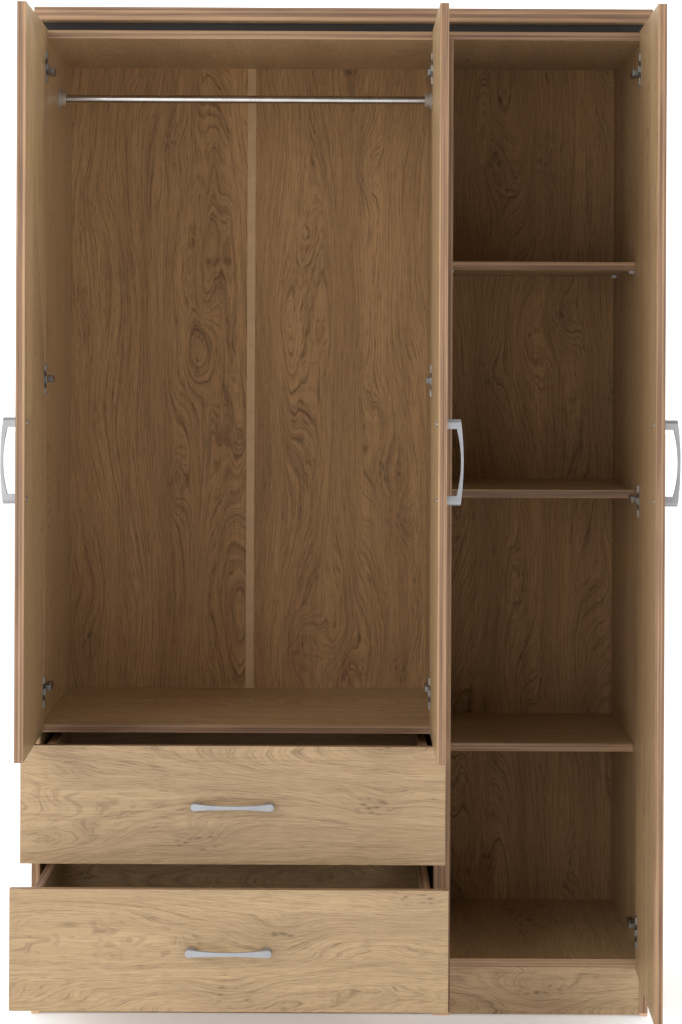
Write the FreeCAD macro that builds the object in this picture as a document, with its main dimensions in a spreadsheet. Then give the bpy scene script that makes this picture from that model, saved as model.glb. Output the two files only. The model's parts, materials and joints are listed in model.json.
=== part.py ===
import FreeCAD, Part
import os
import Sketcher

# Wardrobe with two hinged doors over two drawers on the left and one full-height
# door over shelves on the right.  Flat-pack construction in 15 mm foiled board.
#
# Frame: X to the right, Y to the back, Z up.  The origin is on the floor, under the
# middle of the carcass.  The doors stand open and the drawers are pulled out: that
# is the rest pose, and every joint can bring its piece back to closed.

DIMENSIONS = {
    # carcass
    "width": 1118,              # over both side panels
    "left_width": 744,          # the cabinet with the drawers
    "height": 1824,
    "depth": 487,               # of the carcass boards
    "board": 15,
    "back_board": 3,
    "glide_height": 6,
    "glide_length": 32,
    "glide_inset": 1,           # from the board's front or rear edge
    # top
    "top_thick": 24,
    "gap_strip": 16,            # height of the dark strip under the top board
    "gap_recess": 20,           # the strip's face behind the carcass front
    "gap_inset": 3,             # the strip's ends inside the sides
    "top_overhang": 17,
    # fixed boards
    "floor_top": 104,           # upper face of the bottom boards
    "fixed_shelf_top": 526,
    "plinth_lift": 2.5,
    "plinth_recess": 1.5,
    "plinth_rear_inset": 60,
    # loose shelves
    "shelf_high": 1371,         # upper faces
    "shelf_mid": 948,
    "shelf_low": 478,
    "shelf_setback": 107,
    "shelf_play": 0.5,
    "peg_radius": 2.5,
    "peg_play": 0.1,            # around the pin
    "peg_pin": 8,
    "peg_end_play": 0.5,
    "peg_inset": 40,            # from the shelf's front and rear edges
    "peg_tongue": 8,
    "peg_tongue_thick": 5,
    "peg_tongue_wide": 9,
    # back
    "joint_shift": 4,           # joint of the two left back boards, right of the middle
    "joint_strip": 16,
    "joint_strip_thick": 1,
    # hanging rail
    "rail_radius": 7.5,
    "rail_wall": 1.2,
    "rail_below_roof": 84.5,
    "rail_shift": 10.5,         # behind the middle of the depth
    "socket_plate": 4,
    "socket_depth": 14,
    "socket_play": 0.2,         # around the rail
    "socket_wall": 5.3,
    "socket_flange": 6,         # beyond the collar
    # doors
    "reveal": 1.5,              # door edge inside the carcass edge
    "door_gap": 2,              # door face in front of the carcass
    "meeting_gap": 3,           # between pieces of the front that meet
    "door_left_ajar": 1.2,      # short of a right angle
    "door_middle_ajar": 0.1,
    "door_right_ajar": 2.0,
    "door_lap": 8,              # short doors reach below the fixed shelf's upper face
    "pivot_inset": 8.5,         # hinge axis from the cabinet's outer face
    "pivot_ahead": 17.5,        # hinge axis in front of the carcass
    # hinges
    "hinge_end": 71,            # end hinge from the end of the door
    "cup_edge": 22,             # cup centre from the door's edge
    "cup_radius": 17.3,
    "cup_play": 0.2,            # around the cup
    "cup_depth": 11.5,
    "cup_floor_play": 0.5,
    "cup_wall": 1,
    "cup_rim_radius": 19,
    "cup_wing_long": 57,
    "cup_wing_wide": 14,
    "cup_wing_thick": 3,
    "cup_rim_thick": 1,
    "knuckle_wide": 12,
    "knuckle_long": 14,
    "knuckle_rise": 4,
    "plate_back": 37,           # middle of the mounting plate behind the front
    "plate_long": 50,
    "plate_wide": 14,
    "plate_thick": 2,
    "ridge_wide": 9,
    "ridge_start": 20,
    "ridge_end": 60,
    "arm_behind": 25,           # behind the knuckle of the closed door
    "arm_end": 66,
    "arm_play": 0.55,           # beside the ridge
    "arm_wall": 1.2,
    "arm_low": 6,
    "arm_high": 16,
    # handles
    "handle_long": 145,
    "handle_wide": 13,
    "handle_waist": 6.5,
    "handle_reach": 29,         # of the bow's middle
    "handle_rise": 5,           # from the bow's ends to its middle
    "handle_thick": 4.5,        # at the bow's middle
    "handle_thick_end": 7,
    "handle_leg": 16.5,
    "handle_from_edge": 40,     # door handle from the door's free edge
    "handle_level": 1019,
    "screw_radius": 2,
    "screw_play": 0.5,          # around the shank in the board
    "thread_play": 0.1,         # around the shank in the handle
    "screw_bite": 10,
    "screw_end_play": 2,
    "screw_head_radius": 4.5,
    "screw_head": 2.2,
    # drawers
    "drawer_pull_upper": 159,
    "drawer_pull_lower": 297,
    "front_split": 14,          # between the two drawer fronts
    "box_short": 47,            # drawer box shorter than the carcass
    "box_lift": 21,             # box above the lower edge of its front
    "box_drop": 25,             # box below the upper edge of its front
    "runner_space": 12.5,
    "groove_up": 12,
    "groove_deep": 6,
    "groove_high": 3.2,
    "bottom_board": 3,
    "bottom_play": 0.3,         # between the bottom's edge and the groove
    "runner_short": 40,         # shorter than the drawer box
    "runner_wall": 1.2,
    "runner_set": 2,            # cabinet rail behind the carcass front
    "runner_high": 22,          # of the drawer's member
    "runner_play": 1,           # above and below the drawer's member
    "runner_clear": 3,          # from a flange's edge to the far side of the space
    "runner_level": 40,         # runner's middle above the box's lower edge
}

doc = FreeCAD.newDocument("wardrobe")
sheet = doc.addObject("Spreadsheet::Sheet", "dims")
for row, (name, number) in enumerate(DIMENSIONS.items(), start=1):
    sheet.set("A%d" % row, name)
    sheet.set("B%d" % row, str(number))
    sheet.setAlias("B%d" % row, name)
doc.recompute()


class Size:
    """A length or an angle: its number, and the same thing as a sheet expression."""

    def __init__(self, number, text):
        self.number = float(number)
        self.text = text

    def __add__(self, other):
        other = as_size(other)
        return Size(self.number + other.number, "(%s + %s)" % (self.text, other.text))

    def __sub__(self, other):
        other = as_size(other)
        return Size(self.number - other.number, "(%s - %s)" % (self.text, other.text))

    def __mul__(self, other):
        other = as_size(other)
        return Size(self.number * other.number, "(%s * %s)" % (self.text, other.text))

    def __truediv__(self, other):
        other = as_size(other)
        return Size(self.number / other.number, "(%s / %s)" % (self.text, other.text))

    def __radd__(self, other):
        return as_size(other) + self

    def __rsub__(self, other):
        return as_size(other) - self

    def __rmul__(self, other):
        return as_size(other) * self

    def __neg__(self):
        return as_size(0) - self


def as_size(value):
    return value if isinstance(value, Size) else Size(value, "(%r)" % float(value))


D = {name: Size(number, "dims.%s" % name) for name, number in DIMENSIONS.items()}
parts = {}


def bind(thing, prop, value):
    thing.setExpression(prop, as_size(value).text)


def keep(label, thing):
    """Give a finished sub-part its own label, which names its file."""
    thing.Label = label
    parts[label] = thing
    return thing


# ---------------------------------------------------------------- building blocks

def box(name, x, y, z):
    """A board or block between two corners, each range a (low, high) pair."""
    block = doc.addObject("Part::Box", name)
    for prop, axis, (low, high) in zip(("Length", "Width", "Height"), "xyz", (x, y, z)):
        bind(block, prop, as_size(high) - low)
        bind(block, "Placement.Base." + axis, low)
    return block


def panel(label, x, y, z):
    return keep(label, box(label, x, y, z))


def compound(label, things):
    group = doc.addObject("Part::Compound", label)
    group.Links = things
    return keep(label, group)


def fuse(name, things):
    joined = doc.addObject("Part::MultiFuse", name)
    joined.Shapes = things
    return joined


def new_body(name, base=(0, 0, 0), turn=None):
    """An empty body; turn is its angle about Z, in degrees."""
    body = doc.addObject("PartDesign::Body", name)
    if turn is not None:
        body.Placement = FreeCAD.Placement(
            FreeCAD.Vector(0, 0, 0), FreeCAD.Rotation(FreeCAD.Vector(0, 0, 1), 30))
        bind(body, "Placement.Rotation.Angle", turn)
    for axis, value in zip("xyz", base):
        bind(body, "Placement.Base." + axis, value)
    return body


def new_sketch(body, plane, shift):
    """A sketch on one of the body's own origin planes, moved by shift within it."""
    sketch = body.newObject("Sketcher::SketchObject", "sketch")
    planes = [f for f in body.Origin.OriginFeatures if f.Role == plane]
    sketch.AttachmentSupport = [(planes[0], "")]
    sketch.MapMode = "FlatFace"
    for axis, value in zip("xyz", shift):
        bind(sketch, "AttachmentOffset.Base." + axis, value)
    return sketch


def pin(sketch, geometry, end, x, y):
    """Dimension one point from the sketch's origin."""
    for kind, value, axis in (("DistanceX", as_size(x), -2), ("DistanceY", as_size(y), -1)):
        if abs(value.number) < 1e-9:
            sketch.addConstraint(Sketcher.Constraint("PointOnObject", geometry, end, axis))
        else:
            sketch.addConstraint(
                Sketcher.Constraint(kind, -1, 1, geometry, end, value.number))
            sketch.setExpression(
                "Constraints[%d]" % (sketch.ConstraintCount - 1), value.text)


def point(x, y):
    return FreeCAD.Vector(as_size(x).number, as_size(y).number, 0)


def outline(sketch, corners):
    """A closed outline.  A corner (x, y) starts a straight edge; a corner
    (x, y, through_x, through_y) starts an arc through that point."""
    edges = []
    for here, there in zip(corners, corners[1:] + corners[:1]):
        start, stop = point(here[0], here[1]), point(there[0], there[1])
        if len(here) == 2:
            edge = sketch.addGeometry(Part.LineSegment(start, stop))
            ends = (1, 2)
        else:
            through = point(here[2], here[3])
            ends = (1, 2)
            if (through - start).cross(stop - through).z < 0:
                start, stop = stop, start       # a sketch's arcs run anticlockwise
                ends = (2, 1)
            edge = sketch.addGeometry(Part.Arc(start, through, stop))
        edges.append((edge, ends, here))
    for (one, ends, _), (two, starts, _) in zip(edges, edges[1:] + edges[:1]):
        sketch.addConstraint(Sketcher.Constraint("Coincident", one, ends[1], two, starts[0]))
    for edge, ends, here in edges:
        pin(sketch, edge, ends[0], here[0], here[1])
        if len(here) == 4:
            helper = sketch.addGeometry(Part.Point(point(here[2], here[3])), True)
            pin(sketch, helper, 1, here[2], here[3])
            sketch.addConstraint(Sketcher.Constraint("PointOnObject", helper, 1, edge))


def rectangle(sketch, x, y, wide, high):
    far_x, far_y = as_size(x) + wide, as_size(y) + high
    outline(sketch, [(x, y), (far_x, y), (far_x, far_y), (x, far_y)])


def circle(sketch, x, y, radius):
    radius = as_size(radius)
    ring = sketch.addGeometry(
        Part.Circle(point(x, y), FreeCAD.Vector(0, 0, 1), radius.number))
    sketch.addConstraint(Sketcher.Constraint("Radius", ring, radius.number))
    sketch.setExpression("Constraints[%d]" % (sketch.ConstraintCount - 1), radius.text)
    pin(sketch, ring, 3, x, y)


def pad(body, sketch, length, backwards=False):
    feature = body.newObject("PartDesign::Pad", "pad")
    feature.Profile = sketch
    bind(feature, "Length", length)
    feature.Reversed = backwards
    return feature


def pocket(body, sketch, length, backwards=False):
    """Cut a sketch into the body, and make sure that it removed something."""
    doc.recompute()
    before = body.Shape.Volume
    feature = body.newObject("PartDesign::Pocket", "pocket")
    feature.Profile = sketch
    bind(feature, "Length", length)
    feature.Reversed = backwards
    doc.recompute()
    if not body.Shape.Volume < before - 1e-3:
        raise RuntimeError("a pocket in %s cuts nothing" % body.Name)
    return feature


def revolve(body, sketch):
    feature = body.newObject("PartDesign::Revolution", "revolution")
    feature.Profile = sketch
    feature.ReferenceAxis = (sketch, ["H_Axis"])
    feature.Angle = 360
    return feature


# ---------------------------------------------------------------- shared positions

left = -D["width"] / 2
right = D["width"] / 2
middle = left + D["left_width"]         # where the two cabinets meet
front = -(D["depth"] + D["back_board"]) / 2
rear = front + D["depth"]               # rear edges of the carcass boards
board = D["board"]
top_under = D["height"] - D["top_thick"]
roof_top = top_under - D["gap_strip"]
roof_under = roof_top - board
floor_top = D["floor_top"]
floor_under = floor_top - board
left_bay = (left + board, middle - board)
right_bay = (middle + board, right - board)
full_depth = (front, rear)

# ---------------------------------------------------------------- carcass boards

side_height = (D["glide_height"], roof_under)
panel("side_panel_left", (left, left + board), full_depth, side_height)
panel("side_panel_centre_left", (middle - board, middle), full_depth, side_height)

shelf_tops = (D["shelf_high"], D["shelf_mid"], D["shelf_low"])
shelf_front = front + D["shelf_setback"]
peg_rows = (shelf_front + D["peg_inset"], rear - D["peg_inset"])


def drilled_side(label, x, holes_from_left):
    """A side of the shelf bay, with blind holes for the shelf pegs in its inner face."""
    body = new_body(label, (x, 0, 0))
    blank = new_sketch(body, "YZ_Plane", (front, D["glide_height"], 0))
    rectangle(blank, 0, 0, D["depth"], roof_under - D["glide_height"])
    pad(body, blank, board)
    face = 0 if holes_from_left else board
    holes = new_sketch(body, "YZ_Plane", (front, D["glide_height"], face))
    for shelf_top in shelf_tops:
        level = shelf_top - board - D["peg_tongue_thick"] / 2 - D["glide_height"]
        for row in peg_rows:
            circle(holes, row - front, level, D["peg_radius"] + D["peg_play"])
    pocket(body, holes, D["peg_pin"] + D["peg_end_play"], holes_from_left)
    return keep(label, body)


drilled_side("side_panel_centre_right", middle, False)
drilled_side("side_panel_right", right - board, True)

roof_height = (roof_under, roof_top)
panel("sub_top_left", (left, middle), full_depth, roof_height)
panel("sub_top_right", (middle, right), full_depth, roof_height)
panel("fixed_shelf", left_bay, full_depth,
      (D["fixed_shelf_top"] - board, D["fixed_shelf_top"]))
panel("bottom_panel_left", left_bay, full_depth, (floor_under, floor_top))
panel("bottom_panel_right", right_bay, full_depth, (floor_under, floor_top))

plinth_height = (D["plinth_lift"], floor_under)
plinth_start = front + D["plinth_recess"]
plinth_end = rear - D["plinth_rear_inset"]
for side, bay in (("left", left_bay), ("right", right_bay)):
    panel("plinth_front_" + side, bay, (plinth_start, plinth_start + board), plinth_height)
    panel("plinth_rear_" + side, bay, (plinth_end - board, plinth_end), plinth_height)

# The top board lies on a dark recessed strip, which makes a shadow gap.
panel("top_board", (left, right), (front - D["top_overhang"], rear + D["back_board"]),
      (top_under, D["height"]))
strip_left, strip_right = left + D["gap_inset"], right - D["gap_inset"]
strip_front = front + D["gap_recess"]
strip_height = (roof_top, top_under)
panel("shadow_strip_front", (strip_left, strip_right),
      (strip_front, strip_front + board), strip_height)
panel("shadow_strip_rear", (strip_left, strip_right), (rear - board, rear), strip_height)
compound("shadow_strip_ends", [
    box("crosspiece", (start, start + board), (strip_front + board, rear - board),
        strip_height)
    for start in (strip_left, middle - board / 2, strip_right - board)])

# ---------------------------------------------------------------- back

back_face = (rear, rear + D["back_board"])
back_height = (D["glide_height"], roof_top)
joint = (left + middle) / 2 + D["joint_shift"]
thick, wide = D["joint_strip_thick"], D["joint_strip"]
panel("back_panel_left_outer", (left, joint - thick / 2), back_face, back_height)
panel("back_panel_left_inner", (joint + thick / 2, middle), back_face, back_height)
panel("back_panel_right", (middle, right), back_face, back_height)

# H-section that joins the two left back boards between the shelf and the roof.
strip = new_body("back_joint_strip", (joint, rear, 0))
section = new_sketch(strip, "XY_Plane", (-wide / 2, -thick, D["fixed_shelf_top"]))
wing, far = (wide - thick) / 2, thick + D["back_board"]
outline(section, [
    (0, 0), (wide, 0), (wide, thick), (wing + thick, thick),
    (wing + thick, far), (wide, far), (wide, far + thick), (0, far + thick),
    (0, far), (wing, far), (wing, thick), (0, thick)])
pad(strip, section, roof_under - D["fixed_shelf_top"])
keep("back_joint_strip", strip)

# ---------------------------------------------------------------- hanging rail

rail_level = roof_under - D["rail_below_roof"]
rail_line = front + D["depth"] / 2 + D["rail_shift"]
rail_length = left_bay[1] - left_bay[0] - 2 * D["socket_plate"]
rail = new_body("hanging_rail",
                (left_bay[0] + D["socket_plate"], rail_line, rail_level))
ring = new_sketch(rail, "YZ_Plane", (0, 0, 0))
circle(ring, 0, 0, D["rail_radius"])
circle(ring, 0, 0, D["rail_radius"] - D["rail_wall"])
pad(rail, ring, rail_length)
keep("hanging_rail", rail)

sockets = []
for base, turn in ((left_bay[0], 0), (left_bay[1], 180)):
    socket = new_body("rail_socket", (base, rail_line, rail_level), turn)
    profile = new_sketch(socket, "XY_Plane", (0, 0, 0))
    bore = D["rail_radius"] + D["socket_play"]
    collar = bore + D["socket_wall"]
    flange = collar + D["socket_flange"]
    outline(profile, [
        (0, 0), (D["socket_plate"], 0), (D["socket_plate"], bore),
        (D["socket_depth"], bore), (D["socket_depth"], collar),
        (D["socket_plate"], collar), (D["socket_plate"], flange), (0, flange)])
    revolve(socket, profile)
    sockets.append(socket)
compound("rail_sockets", sockets)

# ---------------------------------------------------------------- loose shelves

shelf_run = (right_bay[0] + D["shelf_play"], right_bay[1] - D["shelf_play"])
for label, shelf_top in zip(("shelf_upper", "shelf_middle", "shelf_lower"), shelf_tops):
    panel(label, shelf_run, (shelf_front, rear), (shelf_top - board, shelf_top))

pegs = []
for shelf_top in shelf_tops:
    under = shelf_top - board
    for row in peg_rows:
        for wall, inward in ((right_bay[0], 1), (right_bay[1], -1)):
            tongue_x = (wall, wall + D["peg_tongue"])
            base = wall - D["peg_pin"]
            if inward < 0:
                tongue_x = (wall - D["peg_tongue"], wall)
                base = wall
            tongue = box("tongue", tongue_x,
                         (row - D["peg_tongue_wide"] / 2, row + D["peg_tongue_wide"] / 2),
                         (under - D["peg_tongue_thick"], under))
            shank = new_body("peg_shank",
                             (base, row, under - D["peg_tongue_thick"] / 2))
            round_end = new_sketch(shank, "YZ_Plane", (0, 0, 0))
            circle(round_end, 0, 0, D["peg_radius"])
            pad(shank, round_end, D["peg_pin"])
            pegs.append(fuse("peg", [tongue, shank]))
compound("shelf_pegs", pegs)

# ---------------------------------------------------------------- glides

glides = []
for start in (left, middle - board, middle, right - board):
    for near in (front + D["glide_inset"],
                 rear - D["glide_inset"] - D["glide_length"]):
        glides.append(box("glide", (start, start + board),
                          (near, near + D["glide_length"]), (0, D["glide_height"])))
compound("glides", glides)

# ---------------------------------------------------------------- handles and screws

def bow_handle(name, base, turn, at, upright):
    """A bow handle on the face through the point at, reaching out along -Y.  Its long
    axis is Z when upright and X otherwise.  base and turn place the body."""
    body = new_body(name, base, turn)
    x, face, z = at
    long, wide, leg = D["handle_long"], D["handle_wide"], D["handle_leg"]
    reach = D["handle_reach"]
    reach_end = reach - D["handle_rise"]
    under = reach - D["handle_thick"]
    under_end = reach_end - D["handle_thick_end"]

    def side_view(along, out):
        return (reach - out, along) if upright else (along, reach - out)

    def front_view(along, across):
        return (across, along) if upright else (along, across)

    # Bow and legs, as deep as the handle is wide.
    if upright:
        side = new_sketch(body, "YZ_Plane", (face - reach, z - long / 2, x - wide / 2))
        low = (x - wide / 2, z - long / 2)
    else:
        side = new_sketch(body, "XY_Plane", (x - long / 2, face - reach, z - wide / 2))
        low = (x - long / 2, z - wide / 2)
    outline(side, [
        side_view(0, 0),
        side_view(leg, 0),
        side_view(leg, under_end) + side_view(long / 2, under),
        side_view(long - leg, under_end),
        side_view(long - leg, 0),
        side_view(long, 0),
        side_view(long, reach_end) + side_view(long / 2, reach),
        side_view(0, reach_end)])
    pad(body, side, wide)

    # What lies outside the waisted, round-ended front view is cut away.
    end = wide / 2
    slack = (wide - D["handle_waist"]) / 2
    around = wide / 2
    trim = new_sketch(body, "XZ_Plane", (low[0], low[1], reach + around - face))
    outline(trim, [
        front_view(end, 0) + front_view(long / 2, slack),
        front_view(long - end, 0) + front_view(long, end),
        front_view(long - end, wide) + front_view(long / 2, wide - slack),
        front_view(end, wide) + front_view(0, end)])
    outline(trim, [
        front_view(-around, -around), front_view(long + around, -around),
        front_view(long + around, wide + around), front_view(-around, wide + around)])
    pocket(body, trim, reach + 2 * around)

    # A threaded hole in each leg.
    holes = new_sketch(body, "XZ_Plane", (low[0], low[1], -face))
    for along in (leg / 2, long - leg / 2):
        spot = front_view(along, wide / 2)
        circle(holes, spot[0], spot[1], D["screw_radius"] + D["thread_play"])
    pocket(body, holes, D["screw_bite"] + D["screw_end_play"], True)
    return body


def handle_screw(base, turn, x, face, z):
    """A pan-head screw along -Y: its head is on the face, and its shank goes through
    the board into the handle's leg."""
    body = new_body("handle_screw", base, turn)
    head = new_sketch(body, "XZ_Plane", (x, z, -face))
    circle(head, 0, 0, D["screw_head_radius"])
    pad(body, head, D["screw_head"], True)
    shank = new_sketch(body, "XZ_Plane", (x, z, -face))
    circle(shank, 0, 0, D["screw_radius"])
    pad(body, shank, board + D["screw_bite"])
    return body


leg_offsets = [side * (D["handle_long"] - D["handle_leg"]) / 2 for side in (-1, 1)]
screw_hole = D["screw_radius"] + D["screw_play"]

# ---------------------------------------------------------------- doors and hinges

half_front = (D["left_width"] - 2 * D["reveal"] - D["meeting_gap"]) / 2
full_front = D["width"] - D["left_width"] - 2 * D["reveal"]
inner_face = D["pivot_ahead"] - D["door_gap"]       # from the hinge axis, door closed
outer_face = inner_face - board
edge_in = D["pivot_inset"] - D["reveal"]            # from the hinge axis to the edge
short_start = D["fixed_shelf_top"] - D["door_lap"]
cup_bore = D["cup_radius"] + D["cup_play"]
hinge_plates = []
hinge_arms = []


def hinge_levels(start):
    return (start + D["hinge_end"], (start + roof_top) / 2, roof_top - D["hinge_end"])


def door(side, hand, outer, ajar, wide, start):
    """A door with its hinge cups, handle and screws.  hand is 1 when the hinges are on
    its left edge and -1 on its right; outer is the outer face of the panel that carries
    them; ajar is how far from a right angle it stands; start is its lower edge."""
    base = (outer + hand * D["pivot_inset"], front - D["pivot_ahead"], 0)
    turn = -hand * (90 - ajar)
    low = -edge_in if hand > 0 else edge_in - wide
    levels = hinge_levels(start)

    def from_hinge_edge(distance):
        return distance if hand > 0 else wide - distance

    leaf = new_body("door_" + side, base, turn)
    blank = new_sketch(leaf, "XZ_Plane", (low, start, -inner_face))
    rectangle(blank, 0, 0, wide, roof_top - start)
    pad(leaf, blank, board)
    bores = new_sketch(leaf, "XZ_Plane", (low, start, -inner_face))
    for level in levels:
        circle(bores, from_hinge_edge(D["cup_edge"]), level - start, cup_bore)
    pocket(leaf, bores, D["cup_depth"] + D["cup_floor_play"], True)
    grip = from_hinge_edge(wide - D["handle_from_edge"])
    holes = new_sketch(leaf, "XZ_Plane", (low, start, -inner_face))
    for offset in leg_offsets:
        circle(holes, grip, D["handle_level"] + offset - start, screw_hole)
    pocket(leaf, holes, board, True)
    keep("door_" + side, leaf)

    cups = []
    for level in levels:
        cups.append(hinge_cup(base, turn, low + from_hinge_edge(D["cup_edge"]), level))
    compound("hinge_cups_" + side, cups)

    keep("door_handle_" + side,
         bow_handle("handle", base, turn, (low + grip, outer_face, D["handle_level"]), True))
    compound("door_handle_screws_" + side, [
        handle_screw(base, turn, low + grip, inner_face, D["handle_level"] + offset)
        for offset in leg_offsets])

    for level in levels:
        hinge_plates.append(hinge_plate(outer + hand * board, hand, level))
        hinge_arms.append(hinge_arm(outer + hand * board, hand, level))


def hinge_cup(base, turn, x, level):
    """The cup in the door's inner face, its wings, and the knuckle that rises from it."""
    cup = new_body("hinge_cup", base, turn)
    barrel = new_sketch(cup, "XZ_Plane", (x, level, -inner_face))
    circle(barrel, 0, 0, D["cup_radius"])
    pad(cup, barrel, D["cup_depth"])
    rim = new_sketch(cup, "XZ_Plane", (x, level, -inner_face))
    circle(rim, 0, 0, D["cup_rim_radius"])
    pad(cup, rim, D["cup_rim_thick"], True)
    wings = new_sketch(cup, "XZ_Plane", (
        x - D["cup_wing_wide"] / 2, level - D["cup_wing_long"] / 2, -inner_face))
    rectangle(wings, 0, 0, D["cup_wing_wide"], D["cup_wing_long"])
    pad(cup, wings, D["cup_wing_thick"], True)
    hollow = new_sketch(cup, "XZ_Plane", (x, level, -inner_face - D["cup_wing_thick"]))
    circle(hollow, 0, 0, D["cup_radius"] - D["cup_wall"])
    pocket(cup, hollow, D["cup_depth"] + D["cup_wing_thick"] - D["cup_wall"], True)
    sunk = D["cup_depth"] - D["cup_wall"]
    knuckle = new_sketch(cup, "XZ_Plane", (
        x - D["knuckle_long"] / 2, level - D["knuckle_wide"] / 2, sunk - inner_face))
    rectangle(knuckle, 0, 0, D["knuckle_long"], D["knuckle_wide"])
    pad(cup, knuckle, sunk + D["knuckle_rise"], True)
    return cup


def inward(wall, hand, near, far):
    """A range of X that starts from a panel's inner face and goes into the cabinet."""
    return (wall + near, wall + far) if hand > 0 else (wall - far, wall - near)


def hinge_plate(wall, hand, level):
    wings = box("plate_wings", inward(wall, hand, 0, D["plate_thick"]),
                (front + D["plate_back"] - D["plate_wide"] / 2,
                 front + D["plate_back"] + D["plate_wide"] / 2),
                (level - D["plate_long"] / 2, level + D["plate_long"] / 2))
    ridge = box("plate_ridge", inward(wall, hand, 0, D["arm_high"] - D["arm_wall"]),
                (front + D["ridge_start"], front + D["ridge_end"]),
                (level - D["ridge_wide"] / 2, level + D["ridge_wide"] / 2))
    return fuse("hinge_plate", [wings, ridge])


def hinge_arm(wall, hand, level):
    """A channel that is open towards the panel and straddles the plate's ridge."""
    near = D["knuckle_rise"] - D["door_gap"] + D["arm_behind"]
    skin = D["arm_wall"]
    tall = D["ridge_wide"] + 2 * (skin + D["arm_play"])
    rise = D["arm_high"] - D["arm_low"]
    arm = new_body("hinge_arm", (wall, front + near, level))
    low = D["arm_low"] if hand > 0 else -D["arm_high"]
    section = new_sketch(arm, "XZ_Plane", (low, -tall / 2, 0))
    channel = [(0, 0), (rise, 0), (rise, tall), (0, tall), (0, tall - skin),
               (rise - skin, tall - skin), (rise - skin, skin), (0, skin)]
    if hand < 0:
        channel = [(rise - x, z) for x, z in channel]
    outline(section, channel)
    pad(arm, section, D["arm_end"] - near, True)
    return arm


door("left", 1, left, D["door_left_ajar"], half_front, short_start)
door("middle", -1, middle, D["door_middle_ajar"], half_front, short_start)
door("right", -1, right, D["door_right_ajar"], full_front, floor_under)
compound("hinge_plates", hinge_plates)
compound("hinge_arms", hinge_arms)

# ---------------------------------------------------------------- drawers

front_run = (left + D["reveal"], middle - D["reveal"])
side_run = (left_bay[0] + D["runner_space"], left_bay[1] - D["runner_space"])
front_high = (short_start - D["meeting_gap"] - D["front_split"] - floor_under) / 2
box_high = front_high - D["box_lift"] - D["box_drop"]
box_long = D["depth"] - D["box_short"]
runner_long = box_long - D["runner_short"]
runner_wide = D["runner_space"] - D["runner_clear"]
rail_high = D["runner_high"] + 2 * (D["runner_play"] + D["runner_wall"])
runner_rails = []


def channel_runner(name, base, wall, hand, tall):
    """A channel along Y.  Its web is on the plane X = wall and its flanges go towards
    +X when hand is 1 and towards -X when it is -1."""
    body = new_body(name, base)
    wide = runner_wide
    low = wall if hand > 0 else wall - wide
    section = new_sketch(body, "XZ_Plane", (low, -tall / 2, 0))
    skin = D["runner_wall"]
    shape = [(0, 0), (wide, 0), (wide, skin), (skin, skin), (skin, tall - skin),
             (wide, tall - skin), (wide, tall), (0, tall)]
    if hand < 0:
        shape = [(wide - x, z) for x, z in shape]
    outline(section, shape)
    pad(body, section, runner_long, True)
    return body


def drawer_side(name, x, start, bottom, groove_inward):
    """A side with the groove for the bottom in its inner face."""
    body = new_body(name, (x, start, bottom))
    section = new_sketch(body, "XZ_Plane", (0, 0, 0))
    groove_low, groove_top = D["groove_up"], D["groove_up"] + D["groove_high"]
    shape = [(0, 0), (board, 0), (board, groove_low),
             (board - D["groove_deep"], groove_low), (board - D["groove_deep"], groove_top),
             (board, groove_top), (board, box_high), (0, box_high)]
    if groove_inward < 0:
        shape = [(board - across, up) for across, up in shape]
    outline(section, shape)
    pad(body, section, box_long, True)
    return body


def drawer(place, start, pull):
    """A drawer pulled out by pull, whose front's lower edge is at start."""
    name = "drawer_%s_" % place
    outer = front - D["door_gap"] - board - pull
    inner = outer + board
    bottom = start + D["box_lift"]
    grip_x = (front_run[0] + front_run[1]) / 2
    grip_z = start + front_high / 2

    face = new_body(name + "front")
    blank = new_sketch(face, "XZ_Plane", (front_run[0], start, -inner))
    rectangle(blank, 0, 0, front_run[1] - front_run[0], front_high)
    pad(face, blank, board)
    holes = new_sketch(face, "XZ_Plane", (front_run[0], start, -inner))
    for offset in leg_offsets:
        circle(holes, grip_x + offset - front_run[0], grip_z - start, screw_hole)
    pocket(face, holes, board, True)
    keep(name + "front", face)

    keep(name + "side_left",
         drawer_side(name + "side_left", side_run[0], inner, bottom, 1))
    keep(name + "side_right",
         drawer_side(name + "side_right", side_run[1] - board, inner, bottom, -1))
    inside = (side_run[0] + board, side_run[1] - board)
    slot = D["groove_deep"] - D["bottom_play"]
    floor = bottom + D["groove_up"]
    panel(name + "bottom", (inside[0] - slot, inside[1] + slot),
          (inner, inner + box_long), (floor, floor + D["bottom_board"]))
    panel(name + "back", inside, (inner + box_long - board, inner + box_long),
          (floor + D["bottom_board"], bottom + box_high))

    keep(name + "handle",
         bow_handle("handle", (0, 0, 0), None, (grip_x, outer, grip_z), False))
    compound(name + "handle_screws", [
        handle_screw((0, 0, 0), None, grip_x + offset, inner, grip_z)
        for offset in leg_offsets])

    level = bottom + D["runner_level"]
    slides = []
    for wall, box_side, hand in ((left_bay[0], side_run[0], 1),
                                 (left_bay[1], side_run[1], -1)):
        runner_rails.append(channel_runner(
            "runner_rail", (0, front + D["runner_set"], level), wall, hand, rail_high))
        slides.append(channel_runner(
            "runner_slide", (0, front + D["runner_set"] - pull, level), box_side, -hand,
            D["runner_high"]))
    compound(name + "runners", slides)


drawer("upper", short_start - D["meeting_gap"] - front_high, D["drawer_pull_upper"])
drawer("lower", floor_under, D["drawer_pull_lower"])
compound("runner_rails", runner_rails)

# ---------------------------------------------------------------- check and write

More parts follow.
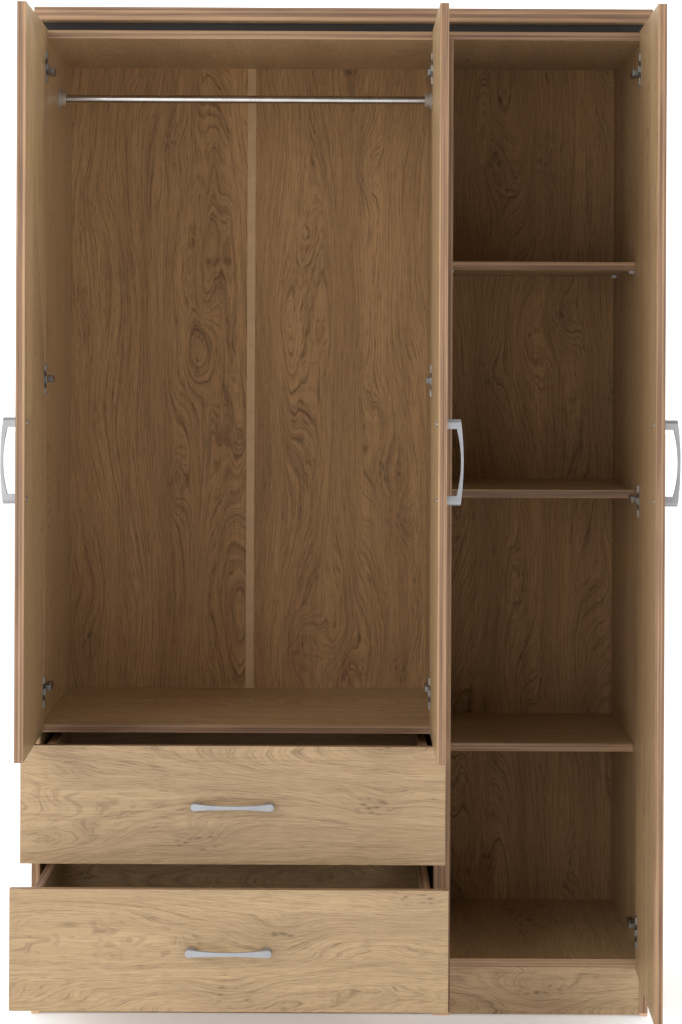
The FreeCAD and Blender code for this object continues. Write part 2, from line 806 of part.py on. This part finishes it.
doc.recompute()
for thing in doc.Objects:
    if "Invalid" in thing.State or "Error" in thing.State:
        raise RuntimeError("%s failed: %s" % (thing.Name, thing.State))
for label, thing in parts.items():
    if thing.Shape.isNull() or not thing.Shape.isValid() or not thing.Shape.Solids:
        raise RuntimeError("%s has no valid shape" % label)
os.makedirs("parts", exist_ok=True)
for label, thing in parts.items():
    thing.Shape.exportStep("parts/%s.step" % label)
print(len(parts), "sub-parts written")
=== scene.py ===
import itertools
import json
import math

import bmesh
import bpy
from mathutils import Matrix, Vector


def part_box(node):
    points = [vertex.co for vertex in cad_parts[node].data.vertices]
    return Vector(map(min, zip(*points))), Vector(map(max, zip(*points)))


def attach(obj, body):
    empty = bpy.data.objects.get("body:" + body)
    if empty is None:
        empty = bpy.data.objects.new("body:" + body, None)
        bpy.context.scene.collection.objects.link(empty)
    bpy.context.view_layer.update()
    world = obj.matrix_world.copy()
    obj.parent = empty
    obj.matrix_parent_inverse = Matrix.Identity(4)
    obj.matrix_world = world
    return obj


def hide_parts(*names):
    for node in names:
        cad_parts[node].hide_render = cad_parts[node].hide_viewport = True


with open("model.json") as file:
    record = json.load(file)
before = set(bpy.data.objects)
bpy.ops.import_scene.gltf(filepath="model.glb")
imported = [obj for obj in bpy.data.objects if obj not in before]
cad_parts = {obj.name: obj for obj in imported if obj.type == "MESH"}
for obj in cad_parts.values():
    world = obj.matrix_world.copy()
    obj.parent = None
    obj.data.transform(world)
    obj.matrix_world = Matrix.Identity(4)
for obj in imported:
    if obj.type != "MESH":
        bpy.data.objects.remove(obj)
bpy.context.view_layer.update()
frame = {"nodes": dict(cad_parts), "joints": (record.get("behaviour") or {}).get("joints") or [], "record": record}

# ---- Standpoint.  The wardrobe is seen square on from about four and a half metres,
# at chest height, with the lens shifted down so that its uprights stay parallel.
EYE_DISTANCE = 4.5227       # in front of the carcass, in metres like every length here
EYE_HEIGHT = 1.2136
EYE_ACROSS = -0.0009
LENS = 87.7
SHIFT_DOWN = 0.1623
SHIFT_ACROSS = -0.00065
TILT = 0.0045
FARTHEST = 100

carcass_low, carcass_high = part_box("side_panel_left")
camera = bpy.data.objects.new("camera", bpy.data.cameras.new("camera"))
bpy.context.collection.objects.link(camera)
camera.location = (EYE_ACROSS, carcass_low[1] - EYE_DISTANCE, EYE_HEIGHT)
camera.rotation_euler = (math.pi / 2, -TILT, 0)
camera.data.lens = LENS
camera.data.shift_x = SHIFT_ACROSS
camera.data.shift_y = -SHIFT_DOWN
camera.data.clip_end = FARTHEST
bpy.context.scene.camera = camera
bpy.context.scene.view_settings.view_transform = "Standard"

# ---- Studio.  Four soft lamps stand before the wardrobe, three of them to its left.
# The room behind the camera is dim, the backdrop is bright, and the floor is pale and
# glows a little, so that it is as white as the backdrop.
ROOM_LIGHT = 0.24
BACKDROP_LIGHT = 1.6
BACKDROP_EDGE = 0.25        # how gently the room turns into the backdrop
WARDROBE_MIDDLE = (0, 0, 0.9)
FLOOR_COLOUR = (0.93, 0.93, 0.93, 1)
FLOOR_PALER = (0.95, 0.95, 0.95, 1)
FLOOR_GLOW = 0.3
FLOOR_REACH = 30
WHITE = (1, 1, 1, 1)


def soft_lamp(name, place, size, power):
    lamp = bpy.data.objects.new(name, bpy.data.lights.new(name, "AREA"))
    bpy.context.collection.objects.link(lamp)
    lamp.data.shape = "RECTANGLE"
    lamp.data.size, lamp.data.size_y = size
    lamp.data.energy = power
    lamp.visible_camera = False
    lamp.location = place
    facing = Vector(WARDROBE_MIDDLE) - Vector(place)
    lamp.rotation_euler = facing.to_track_quat("-Z", "Y").to_euler()


soft_lamp("side_lamp", (-3.6, -2.6, 1.5), (1.6, 2.2), 48)
soft_lamp("key_lamp", (-2.3, -3.7, 2.9), (1.6, 2.2), 46)
soft_lamp("front_lamp", (-1.5, -5.0, 1.7), (2.6, 2.4), 44)
soft_lamp("fill_lamp", (2.6, -4.2, 1.8), (1.6, 2.2), 48)


class Shade:
    """A value in a node tree: a socket with arithmetic."""

    def __init__(self, tree, socket=None):
        self.tree = tree
        self.socket = socket

    def make(self, kind, settings=(), inputs=(), output=0):
        """Any node: its settings first, then the values or links of its sockets."""
        node = self.tree.nodes.new(kind)
        for name, value in dict(settings).items():
            setattr(node, name, value)
        for name, value in dict(inputs).items():
            if isinstance(value, Shade):
                self.tree.links.new(value.socket, node.inputs[name])
            else:
                node.inputs[name].default_value = value
        return Shade(self.tree, node.outputs[output])

    def output_named(self, name):
        """Another output of the node that this value comes from."""
        return Shade(self.tree, self.socket.node.outputs[name])

    def maths(self, operation, *values):
        return self.make("ShaderNodeMath", {"operation": operation}, dict(enumerate(values)))

    def __add__(self, other):
        return self.maths("ADD", self, other)

    def __sub__(self, other):
        return self.maths("SUBTRACT", self, other)

    def __rsub__(self, other):
        return self.maths("SUBTRACT", other, self)

    def __mul__(self, other):
        return self.maths("MULTIPLY", self, other)

    __radd__ = __add__
    __rmul__ = __mul__

    def ramp(self, low, high):
        """0 below low, 1 above high, and a soft step between them."""
        return self.make("ShaderNodeMapRange", {"interpolation_type": "SMOOTHSTEP"},
                         {"Value": self, "From Min": low, "From Max": high})

    def stretched(self, scales):
        return self.make("ShaderNodeVectorMath", {"operation": "MULTIPLY"},
                         {0: self, 1: scales})

    def noise(self, scales, detail=2.0, roughness=0.5):
        return self.make("ShaderNodeTexNoise", {}, {
            "Vector": self.stretched(scales), "Scale": 1.0, "Detail": detail,
            "Roughness": roughness})

    def cells(self, scales, output=0):
        """Points scattered on a plane: how far the nearest one is, or its own Color."""
        return self.make("ShaderNodeTexVoronoi", {"voronoi_dimensions": "2D"},
                         {"Vector": self.stretched(scales), "Scale": 1.0}, output)

    def between(self, first, second):
        """A colour from first to second as this value goes from 0 to 1."""
        return self.make("ShaderNodeMix", {"data_type": "RGBA"},
                         {0: self, 6: first, 7: second}, 2)


def start(name):
    """A new material's tree, ready for its first node."""
    material = bpy.data.materials.new(name)
    material.use_nodes = True
    return Shade(material.node_tree)


def finish(name, colour, roughness, height=None, depth=0.0, **constants):
    """A material from a colour and a roughness, either of them a Shade, and a relief."""
    material = bpy.data.materials[name]
    surface = material.node_tree.nodes["Principled BSDF"]
    inputs = {"Base Color": colour, "Roughness": roughness}
    if height is not None:
        inputs["Normal"] = height.make("ShaderNodeBump", {}, {
            "Height": height, "Distance": depth, "Strength": 1.0})
    for socket, value in {**inputs, **constants}.items():
        if isinstance(value, Shade):
            material.node_tree.links.new(value.socket, surface.inputs[socket])
        else:
            surface.inputs[socket].default_value = value
    return material


def object_place(tree):
    return tree.make("ShaderNodeTexCoord", output="Object")


room = bpy.data.worlds.new("room")
bpy.context.scene.world = room
room.use_nodes = True
sight = Shade(room.node_tree).make("ShaderNodeTexCoord", output="Generated")
backwards = sight.make("ShaderNodeSeparateXYZ", {}, {0: sight}, "Y")
strength = backwards.make("ShaderNodeMapRange", {}, {
    "Value": backwards, "From Min": -BACKDROP_EDGE, "From Max": BACKDROP_EDGE,
    "To Min": ROOM_LIGHT, "To Max": BACKDROP_LIGHT})
air = room.node_tree.nodes["Background"]
air.inputs["Color"].default_value = WHITE
room.node_tree.links.new(strength.socket, air.inputs["Strength"])

ground = bmesh.new()
bmesh.ops.create_grid(ground, x_segments=1, y_segments=1, size=FLOOR_REACH)
floor_mesh = bpy.data.meshes.new("floor")
ground.to_mesh(floor_mesh)
ground.free()
floor = bpy.data.objects.new("floor", floor_mesh)
bpy.context.collection.objects.link(floor)
floor_clouds = object_place(start("pale_floor")).noise((3, 3, 3))
floor_mesh.materials.append(finish(
    "pale_floor", floor_clouds.between(FLOOR_COLOUR, FLOOR_PALER), 0.9,
    **{"Specular IOR Level": 0.0, "Emission Color": WHITE, "Emission Strength": FLOOR_GLOW}))

# ---- Oak foil. Every board is chipboard wrapped in a printed oak foil: pale straw
# brown, with flowing cathedral figure, short dark pores and a few small knots.  The
# drawer fronts and the plinths take a copy of the same foil a tenth darker: painted
# shade, which holds back the lamps that face them.
STRAW = (0.555, 0.382, 0.205, 1)
HONEY = (0.415, 0.275, 0.142, 1)
# the fronts' and plinths' tones: the foil's own, a tenth darker as painted shade
SHADED_FRONT_STRAW = (0.505, 0.348, 0.187, 1)
SHADED_FRONT_HONEY = (0.378, 0.250, 0.129, 1)
UMBER = (0.185, 0.110, 0.054, 1)
KNOT_BROWN = (0.085, 0.046, 0.023, 1)
FIGURE = 0.36               # how strongly the rings show
GLOSS = 0.30
RINGS = 260.0               # pattern rings to a metre across a board without figure
FOIL_RELIEF = 0.00012


def board_grain(name):
    """The board's own map: along its grain, across it, and the board's number."""
    return start(name).make("ShaderNodeAttribute", {"attribute_name": "grain"},
                            output="Vector")


def oak_foil(name, straw, honey, umber, figure, gloss):
    """Scales are counts to a metre along the grain and across it, then from board to
    board.  On the ring map the second count is to a ring."""
    grain = board_grain(name)
    along = grain.make("ShaderNodeSeparateXYZ", {}, {0: grain})
    across = along.output_named("Y")
    number = along.output_named("Z")

    # Knots: a few loose clusters of small dark eyes, which push the figure round them.
    knot_places = (3.0, 7.0, 1.0)
    near = grain.cells(knot_places)
    pick = grain.cells(knot_places, "Color")
    chosen = pick.make("ShaderNodeSeparateColor", {}, {0: pick}).ramp(0.52, 0.56)
    swirl = chosen * (1 - near.ramp(0.0, 0.34))
    eyes = grain.cells((48.0, 120.0, 1.0))
    scatter = grain.noise((30.0, 70.0, 1.0), 1.0)
    knots = chosen * (1 - near.ramp(0.04, 0.20)) * (1 - eyes.ramp(0.06, 0.46))
    knots = knots * scatter.ramp(0.42, 0.56)

    # Figure: the tree's rings, cut along the trunk, as a count that grows across the board.
    flow = grain.noise((1.3, 6.4, 1.0), 1.5, 0.42)
    wander = grain.noise((9.0, 40.0, 1.0), 2.0)
    rings = across * RINGS + flow * 78.0 + wander * 2.6 + swirl * 6.5
    ring_map = grain.make("ShaderNodeCombineXYZ", {}, {0: along, 1: rings, 2: number})
    growth = ring_map.noise((3.4, 0.95, 1.0), 3.0, 0.72)
    fibres = ring_map.noise((14.0, 2.4, 1.0), 2.0, 0.65)
    hairs = grain.noise((16.0, 520.0, 1.0), 2.0, 0.65)
    pores = ring_map.noise((42.0, 3.2, 1.0), 1.5, 0.6).ramp(0.52, 0.66)
    straight = grain.noise((0.5, 24.0, 1.0), 3.0, 0.62)
    broad = grain.noise((1.1, 7.5, 1.0), 2.0)

    # Ink: the ground tone first, then rings, hairs, pores and knots over each other.
    tone = broad.ramp(0.32, 0.68) * 0.45 + straight.ramp(0.34, 0.66) * 0.55
    colour = tone.between(straw, honey)
    lines = growth.ramp(0.45, 0.68)
    colour = (lines * figure + fibres.ramp(0.46, 0.70) * figure * 0.6).between(colour, umber)
    colour = (hairs.ramp(0.42, 0.70) * 0.36).between(colour, umber)
    colour = (pores * (0.32 + lines * 0.42)).between(colour, umber)
    colour = (knots * 0.55 + swirl * 0.12).between(colour, KNOT_BROWN)
    sheen = gloss + fibres * 0.10 + pores * 0.12
    relief = fibres * 0.4 - pores * 0.6
    return finish(name, colour, sheen, relief, FOIL_RELIEF)


foil = oak_foil("oak_foil", STRAW, HONEY, UMBER, FIGURE, GLOSS)
front_foil_painted_shade = oak_foil("front_foil_painted_shade", SHADED_FRONT_STRAW, SHADED_FRONT_HONEY, UMBER, FIGURE, GLOSS)

# ---- Edge band.  The boards' edges are covered by a thin melamine strip, glued on and
# trimmed, printed redder than the foil, with straight stripes along its length.
BAND_TAN = (0.43, 0.26, 0.135, 1)
BAND_RED = (0.115, 0.052, 0.027, 1)
BAND_GLOSS = 0.45
BAND_RELIEF = 0.0001
BAND_EASE = 0.0004          # how far an edge is rounded


def edge_band():
    grain = board_grain("edge_band")
    stripes = grain.noise((0.6, 300.0, 1.0), 2.0, 0.6)
    patches = grain.noise((5.0, 90.0, 1.0), 2.0)
    hairs = grain.noise((14.0, 1500.0, 1.0), 2.0)
    shade = stripes.ramp(0.36, 0.60) * 0.62 + patches.ramp(0.35, 0.65) * 0.2
    colour = (shade + hairs.ramp(0.3, 0.7) * 0.18).between(BAND_TAN, BAND_RED)
    return finish("edge_band", colour, BAND_GLOSS + hairs * 0.1, hairs, BAND_RELIEF)


band = edge_band()

# ---- Boards.  Each board is the CAD board with its edges eased, and with the map of
# its grain: a broad face runs along and across it, an edge along it and through it.
# Every board takes its own stretch of the print.
X, Y, Z = 0, 1, 2
LOOSE_ANGLE = math.radians(0.3)         # triangles this nearly level are one face
SHARP_ANGLE = math.radians(32)          # an edge this sharp is eased
LEVEL = 0.75                            # how squarely a broad face looks along thin
STRETCH_ALONG, STRETCH_ACROSS, STRETCH_NUMBER = 2.37, 0.83, 3.1
EDGE_NUMBER = 1.7                       # sets an edge's print apart from its board's
bodies = frame["record"]["behaviour"]["bodies"]
body_of = {node: body for body, nodes in bodies.items() for node in nodes}
board_numbers = itertools.count(1)


def merged(node):
    """A CAD piece's shape with its loose triangles joined into clean faces."""
    shape = bmesh.new()
    shape.from_mesh(frame["nodes"][node].data)
    bmesh.ops.remove_doubles(shape, verts=shape.verts, dist=1e-6)
    bmesh.ops.dissolve_limit(shape, angle_limit=LOOSE_ANGLE, verts=shape.verts,
                             edges=shape.edges)
    return shape


def eased(shape, width, segments):
    sharp = [edge for edge in shape.edges if edge.calc_face_angle(0) > SHARP_ANGLE]
    bmesh.ops.bevel(shape, geom=sharp, offset=width, segments=segments, profile=0.5,
                    affect="EDGES", material=-1, clamp_overlap=True)
    bmesh.ops.recalc_face_normals(shape, faces=shape.faces)


def finished(shape, node, materials, name):
    """A piece that stands for a CAD node and moves with its body."""
    mesh = bpy.data.meshes.new(name)
    shape.to_mesh(mesh)
    shape.free()
    for material in materials:
        mesh.materials.append(material)
    piece = bpy.data.objects.new(name, mesh)
    bpy.context.collection.objects.link(piece)
    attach(piece, body_of[node])
    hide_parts(node)
    return piece


def board(node, thin, run, face=foil, closed=Matrix.Identity(4)):
    """thin is the axis through the board and run the axis of its grain, both in the
    position that closed turns it to."""
    number = next(board_numbers)
    wide = 3 - thin - run
    shape = merged(node)
    eased(shape, BAND_EASE, 2)
    grain = shape.loops.layers.float_vector.new("grain")
    turn = closed.to_3x3()
    for side in shape.faces:
        facing = [abs(value) for value in turn @ side.normal]
        broad = facing[thin] > LEVEL
        along = run if broad or facing[wide] > facing[run] else wide
        across = wide if broad else thin
        side.material_index = 0 if broad else 1
        for loop in side.loops:
            spot = closed @ loop.vert.co
            loop[grain] = (spot[along] + number * STRETCH_ALONG,
                           spot[across] + number * STRETCH_ACROSS,
                           number * STRETCH_NUMBER + (0 if broad else EDGE_NUMBER))
    return finished(shape, node, [face, band], node + "_board")


# ---- Carcass.  Two cabinets stand side by side: panels with upright grain carry the
# sub-tops, and the shelves, bottoms and plinths are held between them.  The grain of
# the sub-tops and the bottoms runs from front to back.
for side in ("left", "centre_left", "centre_right", "right"):
    board("side_panel_" + side, X, Z)
for node in ("fixed_shelf", "shelf_upper", "shelf_middle", "shelf_lower", "top_board"):
    board(node, Z, X)
for node in ("sub_top_left", "sub_top_right", "bottom_panel_left", "bottom_panel_right"):
    board(node, Z, Y)
for place in ("front_left", "front_right", "rear_left", "rear_right"):
    board("plinth_" + place, Y, X, front_foil_painted_shade)

# ---- Back. Thin fibreboards printed with the same oak close the cabinets behind, and
# a pale plastic strip of H section joins the two wide ones.  The print is darker and
# browner than the foil: partly its own tone and partly painted shade for the backs
# of the cabinets.
SHADED_PRINT_TAN = (0.46, 0.262, 0.108, 1)
SHADED_PRINT_BROWN = (0.315, 0.171, 0.067, 1)
SHADED_PRINT_DARK = (0.105, 0.052, 0.020, 1)
PRINT_FIGURE = 0.46
PRINT_GLOSS = 0.66
STRIP_TAN = (0.49, 0.305, 0.148, 1)
STRIP_SHADE = (0.43, 0.28, 0.14, 1)
STRIP_EASE = 0.0002

# the back print's tones are partly its own and partly painted shade for the cabinets' backs
back_print_and_shade = oak_foil("oak_print_and_shade", SHADED_PRINT_TAN, SHADED_PRINT_BROWN, SHADED_PRINT_DARK, PRINT_FIGURE,
                     PRINT_GLOSS)

for node in ("back_panel_left_outer", "back_panel_left_inner", "back_panel_right"):
    board(node, Y, Z, back_print_and_shade)


def plain_plastic(name, colour, darker, roughness):
    """Moulded plastic: a faint mottle and a fine skin."""
    place = object_place(start(name))
    mottle = place.noise((60, 60, 60), 3.0)
    skin = place.noise((900, 900, 900), 2.0)
    return finish(name, mottle.ramp(0.3, 0.7).between(colour, darker),
                  roughness + skin * 0.12, skin, 0.00005)


strip_shape = merged("back_joint_strip")
eased(strip_shape, STRIP_EASE, 1)
finished(strip_shape, "back_joint_strip",
         [plain_plastic("strip_plastic", STRIP_TAN, STRIP_SHADE, 0.5)],
         "back_joint_section")

# ---- Shadow gap.  Strips of black-foiled board lie between the sub-tops and the top
# board, well behind its front edge, so that the top seems to float.
COAL = (0.013, 0.0095, 0.0085, 1)
SOOT = (0.022, 0.017, 0.015, 1)


def black_foil():
    streaks = object_place(start("black_foil")).noise((6, 260, 260), 3.0)
    return finish("black_foil", streaks.ramp(0.3, 0.7).between(COAL, SOOT),
                  0.6 + streaks * 0.15, streaks, 0.0001)


dark = black_foil()
for node in ("shadow_strip_front", "shadow_strip_rear", "shadow_strip_ends"):
    strip_shape = merged(node)
    eased(strip_shape, BAND_EASE, 2)
    finished(strip_shape, node, [dark], node + "_board")

# ---- Doors.  Foiled boards like the rest, with upright grain.  They stand open, so
# their grain is mapped in the closed position, about each hinge's axis.
door_turns = {}
for joint in frame["joints"]:
    if joint["type"] == "hinge":
        low, high = joint["range_deg"]
        shut = high if high > -low else low
        hinge = Matrix.Translation(joint["pos_m"])
        closing = Matrix.Rotation(math.radians(shut), 4, "Z")
        door_turns[joint["child"]] = hinge @ closing @ hinge.inverted()
for side in ("left", "middle", "right"):
    board("door_" + side, Y, Z, closed=door_turns["door_" + side])

# ---- Drawers.  The fronts have grain from side to side; the sides, backs and thin
# bottoms of the boxes are wrapped in the same kind of foil.
for place in ("upper", "lower"):
    name = "drawer_%s_" % place
    board(name + "front", Y, X, front_foil_painted_shade)
    board(name + "side_left", X, Y)
    board(name + "side_right", X, Y)
    board(name + "back", Y, X)
    board(name + "bottom", Z, X)

# ---- Handles.  Die-cast bows with flared feet, in a satin silver lacquer, each held
# by two zinc-plated screws from inside.
SILVER = (0.36, 0.367, 0.385, 1)
SILVER_SHADE = (0.32, 0.326, 0.345, 1)
LACQUER_METAL = 0.5         # the lacquer's flakes are metal and its binder isn't
ZINC = (0.42, 0.42, 0.43, 1)
ZINC_SHADE = (0.34, 0.34, 0.35, 1)
HANDLE_EASE = 0.0011
SCREW_EASE = 0.0004
SMOOTH_ANGLE = math.radians(28)


def metal(name, colour, darker, roughness, grainy, bare=1.0):
    """A plated or lacquered metal; grainy is how fine its skin is, to a metre."""
    place = object_place(start(name))
    cloud = place.noise((25, 25, 25), 3.0)
    skin = place.noise((grainy, grainy, grainy), 2.0)
    return finish(name, cloud.ramp(0.35, 0.65).between(colour, darker),
                  roughness + skin * 0.10, skin, 0.00002, Metallic=bare)


silver = metal("silver_lacquer", SILVER, SILVER_SHADE, 0.34, 1400, LACQUER_METAL)
zinc = metal("zinc", ZINC, ZINC_SHADE, 0.30, 500)


def fitting(node, material, width, segments, name):
    """A CAD fitting with eased edges and smooth round faces."""
    shape = merged(node)
    eased(shape, width, segments)
    for side in shape.faces:
        side.smooth = True
    for edge in shape.edges:
        edge.smooth = edge.calc_face_angle(0) < SMOOTH_ANGLE
    piece = finished(shape, node, [material], name)
    piece.modifiers.new("weighted", "WEIGHTED_NORMAL").keep_sharp = True
    return piece


for side in ("left", "middle", "right"):
    fitting("door_handle_" + side, silver, HANDLE_EASE, 3, "handle_" + side)
    fitting("door_handle_screws_" + side, zinc, SCREW_EASE, 2, "handle_screws_" + side)
for place in ("upper", "lower"):
    name = "drawer_%s_" % place
    fitting(name + "handle", silver, HANDLE_EASE, 3, name + "bow")
    fitting(name + "handle_screws", zinc, SCREW_EASE, 2, name + "bow_screws")

# ---- Hinges.  Nickel-plated pressed steel: a cup let into the door, and an arm on a
# winged plate screwed to the panel.
NICKEL = (0.27, 0.255, 0.23, 1)
NICKEL_SHADE = (0.22, 0.205, 0.19, 1)
PRESSED_EASE = 0.0003
PLATE_EASE = 0.0004

nickel = metal("nickel_plate", NICKEL, NICKEL_SHADE, 0.32, 700)

for side in ("left", "middle", "right"):
    fitting("hinge_cups_" + side, nickel, PRESSED_EASE, 2, "cups_" + side)
fitting("hinge_plates", nickel, PLATE_EASE, 2, "plates")
fitting("hinge_arms", nickel, PRESSED_EASE, 2, "arms")

# ---- Hanging rail.  A chromed steel tube, its ends held in two brown-grey moulded
# sockets on the panels.
CHROME = (0.50, 0.48, 0.46, 1)
CHROME_SHADE = (0.44, 0.42, 0.40, 1)
SOCKET_GREY = (0.33, 0.28, 0.23, 1)
SOCKET_SHADE = (0.28, 0.235, 0.19, 1)
TUBE_EASE = 0.0002
SOCKET_EASE = 0.0008

chrome = metal("chrome", CHROME, CHROME_SHADE, 0.14, 300)
socket_plastic = plain_plastic("socket_grey", SOCKET_GREY, SOCKET_SHADE, 0.38)
fitting("hanging_rail", chrome, TUBE_EASE, 1, "rail")
fitting("rail_sockets", socket_plastic, SOCKET_EASE, 2, "sockets")

# ---- Small parts. Zinc-plated pegs under the loose shelves, steel runners beside
# the drawers coloured nearly black, which keeps the gaps beside the drawers dark, and
# moulded glides under the panels.
RUNNER_BLACK = (0.045, 0.044, 0.043, 1)
RUNNER_SHADE = (0.030, 0.029, 0.028, 1)
GLIDE_PEACH = (0.72, 0.47, 0.29, 1)
GLIDE_SHADE = (0.66, 0.42, 0.26, 1)
PEG_EASE = 0.0003
RUNNER_EASE = 0.0002
GLIDE_EASE = 0.0006

runner_steel = metal("runner_black", RUNNER_BLACK, RUNNER_SHADE, 0.40, 600)
glide_plastic = plain_plastic("glide_peach", GLIDE_PEACH, GLIDE_SHADE, 0.5)
fitting("shelf_pegs", zinc, PEG_EASE, 2, "pegs")
fitting("runner_rails", runner_steel, RUNNER_EASE, 1, "rails")
for place in ("upper", "lower"):
    name = "drawer_%s_runners" % place
    fitting(name, runner_steel, RUNNER_EASE, 1, name + "_steel")
fitting("glides", glide_plastic, GLIDE_EASE, 2, "glide_pads")
